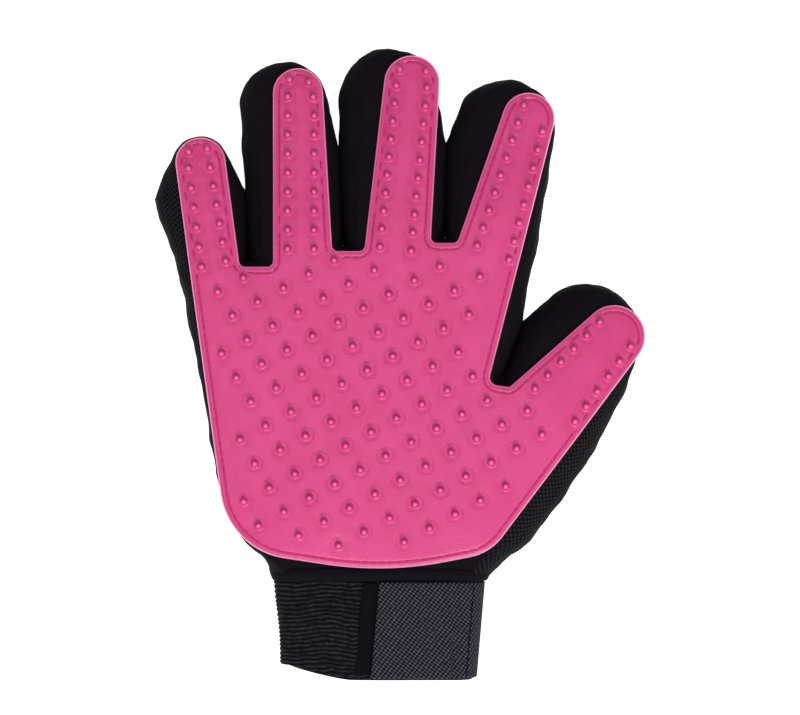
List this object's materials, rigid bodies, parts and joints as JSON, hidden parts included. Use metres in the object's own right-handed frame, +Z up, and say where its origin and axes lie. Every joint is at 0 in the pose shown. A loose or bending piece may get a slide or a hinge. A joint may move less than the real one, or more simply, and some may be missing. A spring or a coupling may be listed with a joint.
{
  "type": "grooming glove",
  "caption": "Right-hand pet grooming glove with a nubbed silicone palm, stretch fabric back, elastic cuff and a hook-and-loop wrist strap.",
  "frame": {"origin": "on the surface the glove lies on, under the middle of its outline", "axes": "+Z up out of the palm, +Y along the fingers, +X towards the thumb"},
  "size_m": [0.1808, 0.2336, 0.029],
  "materials": {
    "silicone": "soft satin moulded silicone",
    "lining_fabric": "fine knit",
    "smooth_fabric": "smooth stretch knit",
    "mesh_fabric": "spacer mesh with small holes",
    "ribbed_elastic": "cross-ribbed elastic",
    "strap_webbing": "napped loop tape",
    "loop_tape": "smooth loop tape",
    "hook_tape": "moulded nylon hooks"
  },
  "bodies": {
    "palm": {"palm_pad": "silicone", "palm_lining": "lining_fabric", "back_mesh": "mesh_fabric", "little_side_wall": "mesh_fabric", "thumb_side_wall": "mesh_fabric", "web_index_thumb": "smooth_fabric", "web_middle_index": "smooth_fabric", "web_ring_middle": "smooth_fabric", "web_little_ring": "smooth_fabric", "wrist_binding": "smooth_fabric", "cuff_elastic": "ribbed_elastic", "loop_patch": "loop_tape", "strap_anchor": "strap_webbing"},
    "little_base": {"little_base_pad": "silicone", "little_base_lining": "lining_fabric", "little_base_gusset": "smooth_fabric", "little_base_back": "mesh_fabric"},
    "little_tip": {"little_tip_pad": "silicone", "little_tip_lining": "lining_fabric", "little_tip_gusset": "smooth_fabric", "little_tip_back": "mesh_fabric"},
    "ring_base": {"ring_base_pad": "silicone", "ring_base_lining": "lining_fabric", "ring_base_gusset": "smooth_fabric", "ring_base_back": "mesh_fabric"},
    "ring_tip": {"ring_tip_pad": "silicone", "ring_tip_lining": "lining_fabric", "ring_tip_gusset": "smooth_fabric", "ring_tip_back": "mesh_fabric"},
    "middle_base": {"middle_base_pad": "silicone", "middle_base_lining": "lining_fabric", "middle_base_gusset": "smooth_fabric", "middle_base_back": "mesh_fabric"},
    "middle_tip": {"middle_tip_pad": "silicone", "middle_tip_lining": "lining_fabric", "middle_tip_gusset": "smooth_fabric", "middle_tip_back": "mesh_fabric"},
    "index_base": {"index_base_pad": "silicone", "index_base_lining": "lining_fabric", "index_base_gusset": "smooth_fabric", "index_base_back": "mesh_fabric"},
    "index_tip": {"index_tip_pad": "silicone", "index_tip_lining": "lining_fabric", "index_tip_gusset": "smooth_fabric", "index_tip_back": "mesh_fabric"},
    "thumb_base": {"thumb_base_pad": "silicone", "thumb_base_lining": "lining_fabric", "thumb_base_gusset": "smooth_fabric", "thumb_base_back": "mesh_fabric"},
    "thumb_tip": {"thumb_tip_pad": "silicone", "thumb_tip_lining": "lining_fabric", "thumb_tip_gusset": "smooth_fabric", "thumb_tip_back": "mesh_fabric"},
    "strap_flap": {"strap_tab": "strap_webbing", "hook_patch": "hook_tape"}
  },
  "joints": [
    {"name": "little_knuckle", "type": "hinge", "parent": "palm", "child": "little_base", "pos_m": [-0.0694, 0.0408, 0.026], "axis": [1, 0, 0], "range_deg": [0, 75], "stiffness_Nm_per_rad": 0.02},
    {"name": "little_joint", "type": "hinge", "parent": "little_base", "child": "little_tip", "pos_m": [-0.0694, 0.0621, 0.02376], "axis": [1, 0, 0], "range_deg": [0, 80], "stiffness_Nm_per_rad": 0.012},
    {"name": "ring_knuckle", "type": "hinge", "parent": "palm", "child": "ring_base", "pos_m": [-0.0363, 0.046, 0.026], "axis": [1, 0, 0], "range_deg": [0, 75], "stiffness_Nm_per_rad": 0.02},
    {"name": "ring_joint", "type": "hinge", "parent": "ring_base", "child": "ring_tip", "pos_m": [-0.0363, 0.0744, 0.02302], "axis": [1, 0, 0], "range_deg": [0, 80], "stiffness_Nm_per_rad": 0.012},
    {"name": "middle_knuckle", "type": "hinge", "parent": "palm", "child": "middle_base", "pos_m": [-0.0012, 0.0528, 0.026], "axis": [1, 0, 0], "range_deg": [0, 75], "stiffness_Nm_per_rad": 0.02},
    {"name": "middle_joint", "type": "hinge", "parent": "middle_base", "child": "middle_tip", "pos_m": [-0.0012, 0.0796, 0.02318], "axis": [1, 0, 0], "range_deg": [0, 80], "stiffness_Nm_per_rad": 0.012},
    {"name": "index_knuckle", "type": "hinge", "parent": "palm", "child": "index_base", "pos_m": [0.0366, 0.0544, 0.026], "axis": [1, 0, 0], "range_deg": [0, 75], "stiffness_Nm_per_rad": 0.02},
    {"name": "index_joint", "type": "hinge", "parent": "index_base", "child": "index_tip", "pos_m": [0.0366, 0.0745, 0.02389], "axis": [1, 0, 0], "range_deg": [0, 80], "stiffness_Nm_per_rad": 0.012},
    {"name": "thumb_knuckle", "type": "hinge", "parent": "palm", "child": "thumb_base", "pos_m": [0.05444, -0.01699, 0.026], "axis": [0.7314, -0.682, 0], "range_deg": [0, 60], "stiffness_Nm_per_rad": 0.02},
    {"name": "thumb_joint", "type": "hinge", "parent": "thumb_base", "child": "thumb_tip", "pos_m": [0.06855, -0.00185, 0.02382], "axis": [0.7314, -0.682, 0], "range_deg": [0, 70], "stiffness_Nm_per_rad": 0.012},
    {"name": "strap_peel", "type": "hinge", "parent": "palm", "child": "strap_flap", "pos_m": [0.0185, -0.098, 0.026], "axis": [0, 1, 0], "range_deg": [0, 150]}
  ]
}
